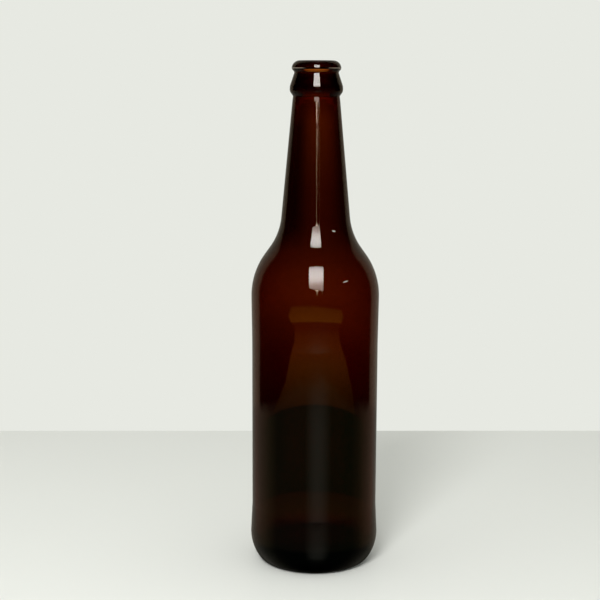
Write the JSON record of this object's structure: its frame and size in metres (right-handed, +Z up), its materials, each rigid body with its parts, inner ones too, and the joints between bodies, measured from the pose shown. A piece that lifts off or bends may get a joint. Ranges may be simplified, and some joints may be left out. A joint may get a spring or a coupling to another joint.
{
  "type": "beer bottle",
  "caption": "Empty long-necked amber glass beer bottle with a crown-cap finish, rounded shoulder, set-back label panel and open mouth.",
  "frame": {"origin": "centre of the ring that the bottle stands on, at the lowest point of the glass", "axes": "+Z up the bottle's axis, from the base to the mouth; the bottle is turned, so X and Y are alike"},
  "size_m": [0.0692, 0.0692, 0.27],
  "materials": {
    "amber_glass": "gloss"
  },
  "bodies": {
    "root": {"bottle": "amber_glass"}
  },
  "joints": []
}
